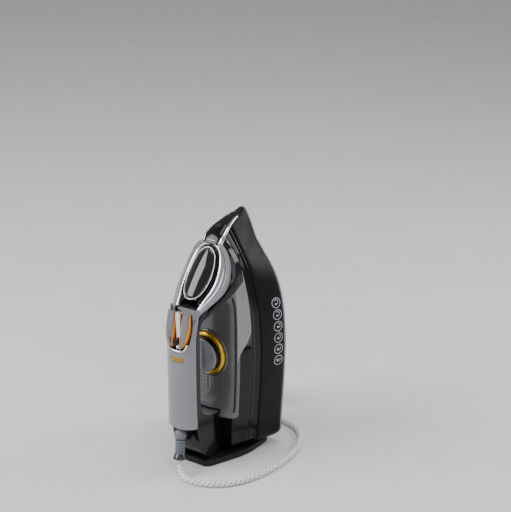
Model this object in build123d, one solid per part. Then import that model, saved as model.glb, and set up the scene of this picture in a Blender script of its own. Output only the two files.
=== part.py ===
from build123d import *
from math import cos, pi, radians, sin, tan
import os

# Corded steam iron standing on its heel, in millimetres.
# It is drawn lying on its soleplate: X to its right, Y from heel to nose, Z up from the sole face.
# stand() then turns it nose up, with the sole face towards +Y and the origin under its middle.

# ---- driving dimensions
ironHeight = 142  # sole face to the top of the buttons
heelThick = 8  # heel plate, front to back
wall = 2.2  # moulded shells
skin = 1.6  # side panels, proud of the shell behind them
play = 0.3  # gap between pieces that move past each other
# Half outlines, nose first, as (half width, distance from the heel), at five heights.
outlines = {
    3: [(0, 308), (9, 297), (24, 272), (49, 232), (61, 195), (65, 150), (64, 100), (60, 40)],
    20: [(0, 303), (9, 293), (25, 268), (46, 232), (57, 195), (61, 150), (60, 100), (55, 40)],
    38: [(0, 298), (9, 290), (25, 268), (41, 235), (51, 195), (55, 150), (54, 100), (50, 40)],
    50: [(0, 294), (9, 288), (25, 266), (37, 238), (46, 198), (49.5, 150), (49, 100), (45, 40)],
    72: [(0, 283), (10, 279), (25, 261), (35, 238), (40, 205), (41, 150), (40, 100), (37, 40)],
}
levels = sorted(outlines)
skirtLow, skirtTop, grooveTop, deckLow = 3, 38, 50, 72
deckTop = 75
plateTop, chamberTop, gasketTop, coverTop = 5, 16, 16.8, 18.8
gripLow, gripTop, crown = 118, 128, 140
coverBack, coverFront = 59, 214
dialAt = 138
slopeFront = (284, 66)  # lower end of the sloping handle front, (from heel, above sole)
slopeLean = 37.6  # degrees from level
loopDepth = 8
ballAt = (0, 48, 134)
ballRadius = 8
# ---- cord
cordWidth = 7.5
coilAt = (-68, 139)  # in the standing frame
coilRadius = 44.5  # middle of its turns
coilBand = 28.5  # its turns side by side, wound as a spiral
coilHigh = 15.5  # two layers
cordLength = 2000
# Points of the cord from the boot to the coil, standing frame.
cordRoute = [
    (6.2, -73.4, 20.0),
    (8.6, -77.6, 9.6),
    (17.0, -83.0, 4.4),
    (35.0, -86.0, 4.0),
    (62.0, -76.0, 4.0),
    (84.0, -50.0, 4.0),
    (94.0, -12.0, 4.0),
    (96.0, 30.0, 4.0),
    (88.0, 72.0, 4.0),
    (64.0, 106.0, 4.0),
    (26.0, 116.0, 4.0),
    (-6.0, 108.0, 4.0),
    (-28.0, 101.0, 4.0),
]


def stand(shape):
    return Pos(0, ironHeight / 2, 0) * Rot(90, 0, 0) * shape


def save(name, shape, standing=False):
    export_step(shape if standing else stand(shape), f"parts/{name}.step")


def block(x0, x1, y0, y1, z0, z1):
    return Pos((x0 + x1) / 2, (y0 + y1) / 2, (z0 + z1) / 2) * Box(x1 - x0, y1 - y0, z1 - z0)


def rod(x, y, z0, z1, radius):
    return Pos(x, y, (z0 + z1) / 2) * Cylinder(radius, z1 - z0)


def tube(x, y, z0, z1, radius, bore):
    return rod(x, y, z0, z1, radius) - rod(x, y, z0, z1, bore)


def both(shape):
    return shape, mirror(shape, Plane.YZ)


def outlineAt(z, grow=0):
    """Half outline at a height, moved outwards by grow along its own normals."""
    low = max([k for k in levels if k <= z], default=levels[0])
    high = min([k for k in levels if k >= z], default=levels[-1])
    part = 0 if high == low else (z - low) / (high - low)
    rows = zip(outlines[low], outlines[high])
    points = [(a[0] + (b[0] - a[0]) * part, a[1] + (b[1] - a[1]) * part) for a, b in rows]
    if grow == 0:
        return points
    moved = [(0, points[0][1] + grow * (2.2 if grow < -5 else 1))]
    for (xa, ya), (x, y), (xb, yb) in zip(points, points[1:], points[2:] + [(points[-1][0], 0)]):
        run = Vector(xb - xa, yb - ya).length
        moved.append((x + grow * (ya - yb) / run, y + grow * (xb - xa) / run))
    return moved[:1] + [p for p in moved[1:] if p[0] > 3 and p[1] < moved[0][1] - 1]


def halfWidth(z, y):
    """Half width of the body at a height and a distance from the heel."""
    points = outlineAt(z)
    for (xa, ya), (xb, yb) in zip(points, points[1:]):
        if yb <= y <= ya:
            return xa + (xb - xa) * (ya - y) / (ya - yb)
    return points[-1][0]


def section(z, grow=0):
    """Face of the body at a height: curved flanks, square back with round corners."""
    corner = 14
    back = heelThick - grow
    edge = outlineAt(z, grow)
    side = edge[-1][0] - 1.5
    flank = Spline(*edge, (side, back + corner), tangents=[(1, 0), (-0.08, -1)])
    turn = JernArc(flank @ 1, (0, -1), corner, -90)
    half = [flank, turn, Line(turn @ 1, (0, back))]
    face = make_face(half + [mirror(e, Plane.YZ) for e in half])
    return Pos(0, 0, z) * face


def hull(z0, z1, grow=0):
    """Solid of the body between two heights."""
    heights = [z0] + [k for k in levels if z0 < k < z1] + [z1]
    return loft([section(k, grow) for k in heights], ruled=True)


def plate(z0, z1, grow):
    """Flat slab with the sole's outline."""
    return extrude(Pos(0, 0, z0 - skirtLow) * section(skirtLow, grow), z1 - z0)


def sideProfile(points, halfWide):
    """Outline in the (from heel, above sole) plane, made as wide as the piece."""
    face = make_face(Polyline(*[(0, y, z) for y, z in points], close=True))
    return extrude(face, halfWide, both=True, dir=(1, 0, 0))


# ---- sloping front of the handle
slopePlane = Plane(
    origin=(0, 249, slopeFront[1] + (slopeFront[0] - 249) * tan(radians(slopeLean))),
    x_dir=(1, 0, 0),
    z_dir=(0, sin(radians(slopeLean)), cos(radians(slopeLean))),
)


def onSlope(shape):
    return slopePlane.location * shape


def aboveSlope(depth):
    """Everything more than depth below the sloping face is left by subtracting this."""
    return onSlope(block(-80, 80, -58, 120, -depth, 120))


def oval(points):
    """Symmetrical closed outline on the sloping face, nose end first."""
    right = Spline(*points, tangents=[(1, 0), (-1, 0)])
    return make_face([right, mirror(right, Plane.YZ)])


loopOuter = [(0, 44), (22, 35), (34, 12), (34, -10), (25, -38), (19, -54), (0, -58)]
loopInner = [(0, 39), (18, 31), (29.4, 11), (29.4, -9), (20, -36), (14, -44), (0, -46)]
doorOuter = [(0, 32), (10, 25), (16.5, 8), (17, -8), (12, -27), (0, -34)]


def shrunk(points, by):
    """The same outline pulled in by a small distance."""
    inner = [(max(x - by, 0), y) for x, y in points]
    return [(0, points[0][1] - by)] + inner[1:-1] + [(0, points[-1][1] + by)]


# ---- soleplate and steam chamber
def soleAndChamber():
    sole = plate(0, skirtLow, -0.5) + plate(skirtLow, plateTop, -3)
    chamber = plate(plateTop, chamberTop, -11) - plate(8, chamberTop, -17)
    vents = [(0, 286), (0, 274), (0, 262)]
    for y in range(70, 245, 15):
        vents += [(halfWidth(3, y) - 20, y), (20 - halfWidth(3, y), y)]
    for x, y in vents:
        sole -= rod(x, y, -1, plateTop + 1, 1.4)
        chamber -= rod(x, y, plateTop - 1, 9, 1.4)
    save("soleplate", sole)
    save("steam_chamber", chamber)
    gasket = plate(chamberTop, gasketTop, -11) - plate(chamberTop, gasketTop, -17)
    save("chamber_gasket", gasket)
    lid = plate(gasketTop, coverTop, -11)
    path = Line((-26, 30, 12), (-26, 190, 12))
    bend = ThreePointArc((-26, 190, 12), (0, 216, 12), (26, 190, 12))
    way = path + bend + Line((26, 190, 12), (26, 30, 12))
    element = sweep(Plane(origin=(-26, 30, 12), z_dir=(0, 1, 0)) * Circle(3.5), path=way)
    for x in (-26, 26):
        element += rod(x, 36, 12, 30, 2)
        lid -= rod(x, 36, gasketTop - 1, coverTop + 1, 3)
    save("heating_element", element)
    save("chamber_cover", lid)


def thermostatSet():
    body = rod(0, dialAt, coverTop, 30, 13) - rod(0, dialAt, 24, 31, 2.8)
    body += block(-5, 5, dialAt - 24, dialAt - 12.5, coverTop, 24)
    save("thermostat", body)
    fuse = Pos(22, 100, coverTop + 3) * Rot(90, 0, 0) * Cylinder(3, 26)
    save("thermal_fuse", fuse)


# ---- shells
def shells():
    save("skirt", hull(skirtLow, skirtTop) - hull(skirtLow, skirtTop, -wall))
    tub = hull(skirtTop, grooveTop, -skin) - hull(skirtTop + 2, grooveTop, -skin - wall)
    tub -= rod(0, dialAt, skirtTop - 1, 41, 3.2)
    front = block(-80, 80, 150, 320, 0, 100)
    tank = (hull(grooveTop, deckLow, -skin) & front) - aboveSlope(loopDepth)
    room = hull(grooveTop + 2, deckLow - 2, -skin - 2) & block(-80, 80, 152, 320, 0, 100)
    room -= aboveSlope(loopDepth + 2)
    tank = tank - room - rod(0, 248, 68, 80, 7)
    nozzleSeat = block(-9.3, 9.3, 279, 310, 41.7, 57.3)
    rear = hull(grooveTop, deckLow, -skin) - front
    rear -= hull(grooveTop, deckLow - 2, -skin - wall) & block(-80, 80, 0, 148, 0, 100)
    rear -= rod(0, dialAt, 60, 80, 3.2)
    rear -= block(-12, 12, 22, 54, 60, 80)
    save("body_housing", tub - nozzleSeat)
    save("water_tank", tank - nozzleSeat)
    save("rear_body", rear)
    edge = [(258, 50), (255, 54), (236, 70.5), (120, 70.5), (108, 50)]
    almond = sideProfile(edge, 80) & block(0, 80, 0, 320, 0, 100)
    panel = (hull(grooveTop, 71) - hull(grooveTop, 71, -skin)) & almond
    right, left = both(panel)
    save("side_panel_right", right)
    save("side_panel_left", left)
    deck = extrude(section(deckLow, -2.5), deckTop - deckLow) & block(-80, 80, 62, 217, 0, 100)
    save("deck_panel", deck - rod(0, dialAt, 70, 80, 3.2))


def nozzleSet():
    housing = block(-9, 9, 280, 298, 42, 57) - aboveSlope(loopDepth)
    housing = fillet(housing.edges().filter_by(Axis.Z).group_by(Axis.Y)[-1], 5)
    tilt = Pos(0, 297, 50) * Rot(-72, 0, 0)
    housing -= tilt * Pos(0, 0, -2) * Cylinder(4.2, 14)
    jet = tilt * Pos(0, 0, -1) * (Cylinder(4, 9) - Pos(0, 0, 3) * Cylinder(0.6, 6))
    save("nozzle_housing", housing)
    save("spray_nozzle", jet)


# ---- temperature dial
def dialSet():
    z = deckTop
    save("dial_bezel", tube(0, dialAt, z, z + 2, 30, 28.4) + tube(0, dialAt, z, z + 0.8, 30, 3.2))
    save("dial_ring", tube(0, dialAt, z + 1.2, z + 7, 28, 24))
    knob = rod(0, dialAt, z + 1.2, z + 8, 23.8) - rod(0, dialAt, z, z + 5, 2.5)
    knob -= block(-30, 30, dialAt - 30, dialAt, z + 6, z + 12)
    grip = rod(0, dialAt, z + 8, z + 16, 22) & block(-30, 30, dialAt - 4, dialAt + 30, 0, 200)
    save("dial_knob", knob + (grip & block(-30, 30, dialAt, dialAt + 30, 0, 200)))
    cap = rod(0, dialAt, z + 6, z + 8, 23.5) & block(-30, 30, dialAt - 30, dialAt, 0, 200)
    save("dial_cap", cap)
    save("thermostat_spindle", rod(0, dialAt, 24.3, z + 5, 2.5))


# ---- handle
def handleFront():
    rows = [(72, 37, 281, 219), (90, 33, 258, 212), (104, 27, 240, 204), (118, 20, 222, 192)]
    faces = []
    for z, wide, front, back in rows:
        deep = front - back
        mids = [(wide * 0.97, back + deep * 0.35), (wide * 0.62, back + deep * 0.8)]
        side = Spline((wide, back), *mids, (0, front), tangents=[(0, 1), (-1, 0)])
        half = [side, Line((0, back), (wide, back))]
        faces.append(Pos(0, 0, z) * make_face(half + [mirror(e, Plane.YZ) for e in half]))
    front = loft(faces, ruled=True) - aboveSlope(loopDepth)
    save("handle_front", front - rod(0, 248, 70, 110, 9.3))
    funnel = tube(0, 248, deckLow, 100, 9, 7) - aboveSlope(loopDepth)
    save("filler_funnel", funnel)
    seal = onSlope(Pos(0, 0.6, -loopDepth + 0.5) * (Cylinder(13, 1) - Cylinder(10.5, 1)))
    save("filler_seal", seal)


def handleCore():
    outer = [(198, gripTop), (58, gripTop), (58, 124), (36, 122), (20, 117), (8.2, 110)]
    outer += [(8.2, deckLow), (61.8, deckLow), (62, 84), (65, 102), (72, 113), (84, gripLow)]
    outer += [(198, gripLow)]
    core = sideProfile(outer, 19)
    core -= block(-16.7, 16.7, 62, 194, gripLow + 2.5, gripTop)
    core -= block(-12, 12, 22, 54, deckLow, 119)
    core -= block(-8, 8, 50, 64, 119, 124.5)
    save("handle_core", core)


def cutaway(z0, z1, spread=0):
    """Window in the handle's crown for the buttons."""
    return block(-19 - spread, 19 + spread, 163, 212, z0, z1)


def coverSolid(inset):
    half = 21 - inset
    top = crown - inset
    low = 128 if inset == 0 else 127
    arc = ThreePointArc((half, 132), (half * 0.7, 132 + (top - 132) * 0.75), (0, top))
    right = [Line((0, low), (half, low)), Line((half, low), (half, 132)), arc]
    face = make_face(right + [mirror(e, Plane.YZ) for e in right])
    upright = Plane(origin=(0, coverBack + inset, 0), x_dir=(1, 0, 0), z_dir=(0, -1, 0))
    return extrude(upright * face, -(coverFront - coverBack - 2 * inset))


def handleCover():
    shell = coverSolid(0) - coverSolid(2.4)
    shell -= cutaway(129, 150)
    shell -= block(-10, 10, 147.5, 154.5, 130, 150)
    ring = oval(loopOuter) - oval(loopInner)
    loop = onSlope(extrude(ring, -loopDepth))
    cut = block(-40, 40, 150, coverFront, gripTop, 150) + block(-40, 40, 100, 198.4, 90, 150)
    shell += loop - cut
    save("handle_cover", shell)
    lens = block(-9.9, 9.9, 147.6, 154.4, 134, 139.6)
    save("indicator_lens", fillet(lens.edges().filter_by(Axis.Z), 3.3))
    save("indicator_lamp", rod(0, 151, 126, 131, 2.5) + Pos(0, 151, 131) * Sphere(2.5))


def fillerDoorSet():
    bezel = oval(shrunk(loopInner, 0.2)) - oval(shrunk(doorOuter, -0.4))
    chrome = onSlope(extrude(Pos(0, 0, -1) * bezel, -(loopDepth - 1)))
    chrome -= onSlope(block(-15, 15, -42, -22, -8, 0))
    save("chrome_bezel", chrome)
    door = onSlope(extrude(Pos(0, 0, -1) * oval(doorOuter), -2.4))
    knuckle = onSlope(Pos(0, -33, -4.2) * Rot(0, 90, 0) * Cylinder(2.2, 12))
    bore = onSlope(Pos(0, -33, -4.2) * Rot(0, 90, 0) * Cylinder(1.05, 18))
    save("filler_door", door + knuckle - bore)
    save("filler_pin", onSlope(Pos(0, -33, -4.2) * Rot(0, 90, 0) * Cylinder(1, 17)))


# ---- buttons and slider on the handle
def buttons():
    cap = block(5.2, 18.2, 166, 210, 134, 142)
    cap = fillet(cap.edges().filter_by(Axis.Z), 4)
    cap = fillet(cap.faces().sort_by(Axis.Z)[-1].edges(), 2)
    base = fillet(block(6, 17.4, 168, 208, 131, 134).edges().filter_by(Axis.Z), 3)
    stem = rod(10, 176, 123.6, 131, 2.5)
    barrel = tube(10, 176, 120.5, 127, 5.5, 2.8)
    leaf = block(7, 13, 184, 192, 126.2, 126.7) + block(8, 12, 190, 192, 120.5, 126.3)
    names = ("steam_button", "steam_button_base", "steam_plunger", "steam_pump", "steam_spring")
    for name, shape in zip(names, (cap, base, stem, barrel, leaf)):
        right, left = both(shape)
        save(name, right)
        save(name.replace("steam", "spray"), left)
    rail = block(-4.4, 4.4, 164, 211, 129.4, 136) - block(-1.6, 1.6, 166, 209, 133, 137)
    save("slider_rail", rail)
    knob = block(-4.2, 4.2, 169, 178, 136.3, 141.4) + block(-1.2, 1.2, 170, 177, 133.4, 136.5)
    save("steam_slider", fillet(knob.edges().filter_by(Axis.Z).group_by(SortBy.LENGTH)[-1], 1.2))


# ---- heel and wiring
def heelSet():
    outline = [(40, 6), (46, 14), (46, 48), (38, 76), (26, 108), (20, 113)]
    face = make_face(Polyline(*outline, *[(-x, y) for x, y in outline[::-1]], close=True))
    upright = Plane(origin=(0, 0, 0), x_dir=(1, 0, 0), z_dir=(0, -1, 0))
    heel = extrude(upright * face, -heelThick)
    heel = fillet(heel.faces().sort_by(Axis.Y)[0].edges(), 1.5)
    save("heel_cover", heel)
    blockBody = block(-11, 11, 26, 46, 76, 90)
    for x in (-7, 0, 7):
        blockBody -= rod(x, 36, 75, 91, 1.6)
    save("terminal_block", blockBody)
    wires = None
    for x in (-7, 0, 7):
        way = Line((x, 36, 66), (x, 36, 110))
        wire = sweep(Plane(origin=(x, 36, 66), z_dir=(0, 0, 1)) * Circle(1.4), path=way)
        wires = wire if wires is None else wires + wire
    save("wiring", Compound(wires.solids()))
    clamp = block(-9, 9, 28, 46, 111, 116) - rod(0, 36, 110, 117, 4)
    save("cord_clamp", clamp)
    screws = []
    for x, y in ((-30, 70), (30, 70), (-30, 180), (30, 180), (0, 240)):
        screws.append(rod(x, y, coverTop, coverTop + 2.4, 3.6) + rod(x, y, coverTop, 37.8, 1.8))
    save("screws", Compound(screws))


# ---- cord, from the swivel ball to the plug
def cordExit():
    """Middle of the ball and of the boot's mouth, and the boot's axis, lying frame."""
    ball = Vector(*ballAt)
    mouth = Vector(cordRoute[0][0], cordRoute[0][2], ironHeight / 2 - cordRoute[0][1])
    return ball, mouth, (mouth - ball).normalized()


def swivelSet():
    ball, mouth, axis = cordExit()
    seat = Pos(*ballAt) * Sphere(ballRadius + play)
    socket = block(-11, 11, 43, 57.8, 125.5, 131) - seat
    socket += block(-11, 11, 55.5, 57.8, 124, 134) - seat
    save("cord_socket", socket)
    save("cord_ball", Pos(*ballAt) * Sphere(ballRadius))
    length = (mouth - ball).length
    start = 7.6
    profile = [(0, start), (6.4, start), (6.2, length - 9), (8.4, length - 3), (8.4, length)]
    half = Polyline(*profile, (0, length), close=True)
    spin = Plane(origin=ball, x_dir=axis.cross(Vector(0, 1, 0)), z_dir=axis)
    boot = revolve(make_face(Plane.XZ * half), Axis.Z)
    boot = spin.location * boot - Pos(*ballAt) * Sphere(ballRadius)
    for step in range(4):
        groove = Pos(0, 0, start + 3 + 3.4 * step) * (Cylinder(8, 1.2) - Cylinder(5.4, 1.2))
        boot -= spin.location * groove
    save("cord_boot", boot)


def arcRadii(points):
    """Largest tangent arc at each corner that its two runs allow."""
    spots = [Vector(*p) for p in points]
    radii = []
    for a, b, c in zip(spots, spots[1:], spots[2:]):
        turn = radians((b - a).get_angle(c - b))
        radii.append(0.45 * min((b - a).length, (c - b).length) / tan(turn / 2))
    return radii


def cordSet():
    radii = arcRadii(cordRoute)
    path = FilletPolyline(*cordRoute, radius=radii)
    lead = Vector(*cordRoute[1]) - Vector(*cordRoute[0])
    start = Plane(origin=cordRoute[0], z_dir=lead)
    cord = sweep(start * Circle(cordWidth / 2), path=path)
    print("cord bend radii", [round(r) for r in radii])
    print("cord on the floor", round(path.length), "volume ratio",
          round(cord.volume / (path.length * pi * cordWidth**2 / 4), 4))
    print("left for the coil", round(cordLength - path.length))
    save("power_cord", cord, standing=True)
    band = Pos(coilRadius, coilHigh / 2) * RectangleRounded(coilBand, coilHigh, 3.7)
    coil = revolve(Plane.XZ * band, Axis.Z)
    save("cord_coil", Pos(coilAt[0], coilAt[1], 0) * coil, standing=True)


def plugSet():
    half = Polyline((0, 0), (5, 0), (6.5, 24), (13, 34), (18, 44), (18, 58), (0, 58), close=True)
    plug = revolve(make_face(Plane.XZ * half), Axis.Z)
    lay = Plane(
        origin=(coilAt[0] + 13.5, coilAt[1] + 40.3, 20.3),
        x_dir=(1, 1, 0),
        z_dir=(0.707, -0.707, 0.29),
    )
    low = (lay.location * plug).bounding_box().min.Z
    lift = Pos(0, 0, coilHigh - 0.05 - low)  # it lies on the coil
    pins = [Pos(side * 9.5, 0, 58 + 9.5) * Cylinder(2.4, 19) for side in (-1, 1)]
    save("plug_body", lift * lay.location * plug, standing=True)
    save("plug_pins", Compound([lift * lay.location * p for p in pins]), standing=True)


os.makedirs("parts", exist_ok=True)
soleAndChamber()
thermostatSet()
shells()
nozzleSet()
dialSet()
handleFront()
handleCore()
handleCover()
fillerDoorSet()
buttons()
heelSet()
swivelSet()
cordSet()
plugSet()
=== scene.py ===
from math import cos, pi, radians, sin, sqrt, tan

import bmesh
import bpy
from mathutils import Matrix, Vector


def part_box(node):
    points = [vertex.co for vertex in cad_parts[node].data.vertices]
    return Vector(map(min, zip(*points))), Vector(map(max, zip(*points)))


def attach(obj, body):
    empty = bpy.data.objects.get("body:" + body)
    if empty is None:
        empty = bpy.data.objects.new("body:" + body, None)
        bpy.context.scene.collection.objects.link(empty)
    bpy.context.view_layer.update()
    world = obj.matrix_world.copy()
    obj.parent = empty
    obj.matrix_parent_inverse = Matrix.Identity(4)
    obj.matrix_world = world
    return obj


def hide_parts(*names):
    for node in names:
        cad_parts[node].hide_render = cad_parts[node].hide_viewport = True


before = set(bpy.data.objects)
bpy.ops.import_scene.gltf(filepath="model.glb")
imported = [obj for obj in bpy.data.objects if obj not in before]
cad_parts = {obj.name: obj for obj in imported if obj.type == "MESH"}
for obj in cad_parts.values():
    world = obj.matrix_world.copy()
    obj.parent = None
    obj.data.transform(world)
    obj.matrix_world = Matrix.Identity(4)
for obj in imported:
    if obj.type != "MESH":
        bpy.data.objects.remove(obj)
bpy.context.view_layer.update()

# Steam iron standing on its heel. Shapes are worked out in millimetres with the iron lying on its
# sole: x to its right, s from heel to nose, h up from the sole face. place() turns that to the row frame.
lowBox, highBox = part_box("soleplate")
soleFace = highBox[1]  # the sole lies at the highest y of the row frame
mm = 0.001


def place(x, s, h):
    return (x * mm, soleFace - h * mm, s * mm)


# camera
view = {"turn": 35.0, "rise": 20.5, "away": 1.75, "lens": 103.0, "aim": (0.0565, 0.0165, 0.2697)}


def makeCamera():
    data = bpy.data.cameras.new("camera")
    data.lens = view["lens"]
    data.sensor_width = 36
    cam = bpy.data.objects.new("camera", data)
    bpy.context.collection.objects.link(cam)
    turn, rise = radians(view["turn"]), radians(view["rise"])
    back = Vector((sin(turn) * cos(rise), -cos(turn) * cos(rise), sin(rise)))
    cam.location = Vector(view["aim"]) + back * view["away"]
    cam.rotation_euler = back.to_track_quat("Z", "Y").to_euler()
    bpy.context.scene.camera = cam


makeCamera()
print("camera placed")


# nodes and colours
def linear(code):
    # sRGB hex to linear.
    parts = [int(code[k:k + 2], 16) / 255 for k in (1, 3, 5)]
    return tuple(c / 12.92 if c <= 0.04045 else ((c + 0.055) / 1.055) ** 2.4 for c in parts) + (1,)


def node(tree, kind, settings=None, **links):
    # Adds a node, sets its properties, sockets or ramp stops, and links its inputs by name or number.
    made = tree.nodes.new(kind)
    for key, value in (settings or {}).items():
        if key == "stops":
            for stop, (where, colour) in zip(made.color_ramp.elements, value):
                stop.position, stop.color = where, linear(colour)
        elif isinstance(key, str) and hasattr(made, key):
            setattr(made, key, value)
        else:
            made.inputs[key].default_value = value
    for key, source in links.items():
        tree.links.new(source, made.inputs[int(key[1:]) if key[1:].isdigit() else key.replace("_", " ")])
    return made


def shader(name, settings):
    # A new material with one Principled shader, and the row-frame position in millimetres.
    made = bpy.data.materials.new(name)
    made.use_nodes = True
    tree = made.node_tree
    tree.nodes.clear()
    skin = node(tree, "ShaderNodeBsdfPrincipled", settings)
    node(tree, "ShaderNodeOutputMaterial", Surface=skin.outputs["BSDF"])
    where = node(tree, "ShaderNodeTexCoord").outputs["Object"]
    spot = node(tree, "ShaderNodeVectorMath", {"operation": "SCALE", 3: 1000.0}, _0=where).outputs[0]
    return made, tree, skin, spot


def finish(name, settings, stops, gloss, relief, cloud=None, smear=None, tooth=None, flake=None):
    # Clouds between two colours, smears between two roughnesses, and a relief so many millimetres deep.
    # Each is a noise of (millimetres, detail, roughness); flakes stand in for the clouds and the relief.
    made, tree, skin, spot = shader(name, settings)
    layers = {}
    for part, sizes in (("cloud", cloud), ("smear", smear), ("tooth", tooth)):
        if sizes:
            size, detail, rough = sizes
            grain = {"Scale": 1 / size, "Detail": detail, "Roughness": rough}
            layers[part] = node(tree, "ShaderNodeTexNoise", grain, Vector=spot).outputs["Fac"]
    if flake:
        cells = node(tree, "ShaderNodeTexVoronoi", {"Scale": 1 / flake}, Vector=spot)
        grey = node(tree, "ShaderNodeRGBToBW", Color=cells.outputs["Color"]).outputs[0]
        layers["cloud"] = layers["tooth"] = grey
    if stops:
        tint = node(tree, "ShaderNodeValToRGB", {"stops": stops}, Fac=layers["cloud"])
        tree.links.new(tint.outputs["Color"], skin.inputs["Base Color"])
    rough = node(tree, "ShaderNodeMapRange", {"From Min": 0.3, "From Max": 0.7, "To Min": gloss[0],
                                              "To Max": gloss[1]}, Value=layers["smear"])
    tree.links.new(rough.outputs["Result"], skin.inputs["Roughness"])
    bump = node(tree, "ShaderNodeBump", {"Distance": relief * mm, "Strength": 1.0}, Height=layers["tooth"])
    tree.links.new(bump.outputs["Normal"], skin.inputs["Normal"])
    return made


def mouldedPlastic(name, colour, second, rough, spread=0.05, grain=0.6, relief=0.004, coat=0.0, shine=0.5):
    # Moulded plastic: colour clouds too weak to name, handling marks in the gloss, fine mould grain.
    return finish(name, {"IOR": 1.54, "Coat Weight": coat, "Coat Roughness": 0.06, "Specular IOR Level": shine},
                  [(0.35, colour), (0.68, second)], (rough - spread, rough + spread), relief,
                  (22, 4, 0.5), (9, 5, 0.62), (grain, 2, 0.5))


def metallicPaint(name, colour, second, metal, rough, flake=0.45):
    # Metallic paint on plastic: bright and dark flakes that sparkle a little under a thin clear coat.
    return finish(name, {"Metallic": metal, "Coat Weight": 0.35, "Coat Roughness": 0.12},
                  [(0.1, colour), (0.9, second)], (rough - 0.04, rough + 0.05), 0.006,
                  smear=(12, 4, 0.5), flake=flake)


def platedPlastic(name, colour, rough):
    # Plated plastic: a mirror, with the faint waves of the moulding under it.
    return finish(name, {"Metallic": 1.0, "Base Color": linear(colour)}, None, (rough, rough + 0.07), 0.03,
                  smear=(6, 4, 0.6), tooth=(14, 1, 0.5))


def tintedClear(name, colour, second, through, rough=0.06):
    # Tinted polycarbonate: dark and glossy, with flow clouds in the tint.
    return finish(name, {"IOR": 1.585, "Transmission Weight": through, "Coat Weight": 0.1, "Coat Roughness": 0.08},
                  [(0.3, colour), (0.7, second)], (rough - 0.02, rough + 0.05), 0.02,
                  (26, 3, 0.5), (8, 4, 0.5), (18, 1, 0.5))


def softRubber(name, colour, second, rough=0.62):
    # Moulded rubber: dull, with a fine spark-eroded grain and lighter dusty patches.
    return finish(name, {"IOR": 1.5, "Sheen Weight": 0.15, "Sheen Roughness": 0.4},
                  [(0.35, colour), (0.7, second)], (rough - 0.07, rough + 0.08), 0.02,
                  (7, 5, 0.6), (3, 4, 0.5), (0.5, 2, 0.5))


def workedMetal(name, colour, second, rough, metal=1.0, grain=0.3, relief=0.01):
    # Cast, drawn or plated metal: streaks of lighter metal and a fine tooth.
    return finish(name, {"Metallic": metal}, [(0.3, colour), (0.72, second)], (rough - 0.06, rough + 0.08), relief,
                  (5, 5, 0.65), (2, 3, 0.5), (grain, 2, 0.5))


braid = {"pitch": 2.1, "strands": 6.0, "tracerEvery": 3, "tracerWide": 0.34, "dash": 0.5, "relief": 0.35}


def braidedTextile(name, colour, second, fleck):
    # Woven polyester sleeve: crossing strands with grey tracer dashes, drawn a little coarse so that they show.
    made, tree, skin, spot = shader(name, {"Roughness": 0.72, "Sheen Weight": 0.35, "Sheen Roughness": 0.5,
                                           "IOR": 1.5})
    parts = node(tree, "ShaderNodeSeparateXYZ", _0=node(tree, "ShaderNodeUVMap", {"uv_map": "braid"}).outputs[0])
    steps = {"millimetres": parts.outputs[0], "turns": parts.outputs[1]}
    for step, operation, first, other in (
            ("along", "MULTIPLY", "millimetres", 1 / braid["pitch"]),
            ("around", "MULTIPLY", "turns", braid["strands"]),
            ("right", "ADD", "around", "along"), ("left", "SUBTRACT", "around", "along"),
            ("rightSaw", "FRACT", "right", None), ("rightHump", "PINGPONG", "rightSaw", 0.5),
            ("leftSaw", "FRACT", "left", None), ("leftHump", "PINGPONG", "leftSaw", 0.5),
            ("weave", "MULTIPLY", "rightHump", "leftHump"),
            ("few", "MULTIPLY", "right", 1 / braid["tracerEvery"]), ("fewSaw", "FRACT", "few", None),
            ("isTracer", "LESS_THAN", "fewSaw", braid["tracerWide"]),
            ("gap", "MULTIPLY", "left", braid["dash"]), ("gapSaw", "FRACT", "gap", None),
            ("isDash", "LESS_THAN", "gapSaw", 0.5), ("mask", "MULTIPLY", "isTracer", "isDash")):
        settings, links = {"operation": operation}, {"_0": steps[first]}
        if isinstance(other, str):
            links["_1"] = steps[other]
        elif other is not None:
            settings[1] = other
        steps[step] = node(tree, "ShaderNodeMath", settings, **links).outputs[0]
    cloud = node(tree, "ShaderNodeTexNoise", {"Scale": 1 / 5, "Detail": 4, "Roughness": 0.5}, Vector=spot)
    white = node(tree, "ShaderNodeValToRGB", {"stops": [(0.3, colour), (0.7, second)]}, Fac=cloud.outputs["Fac"])
    mix = node(tree, "ShaderNodeMix", {"data_type": "RGBA", 7: linear(fleck)},
               _0=steps["mask"], _6=white.outputs["Color"])
    tree.links.new(mix.outputs[2], skin.inputs["Base Color"])
    bump = node(tree, "ShaderNodeBump", {"Distance": braid["relief"] * mm, "Strength": 0.9}, Height=steps["weave"])
    tree.links.new(bump.outputs["Normal"], skin.inputs["Normal"])
    return made


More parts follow.
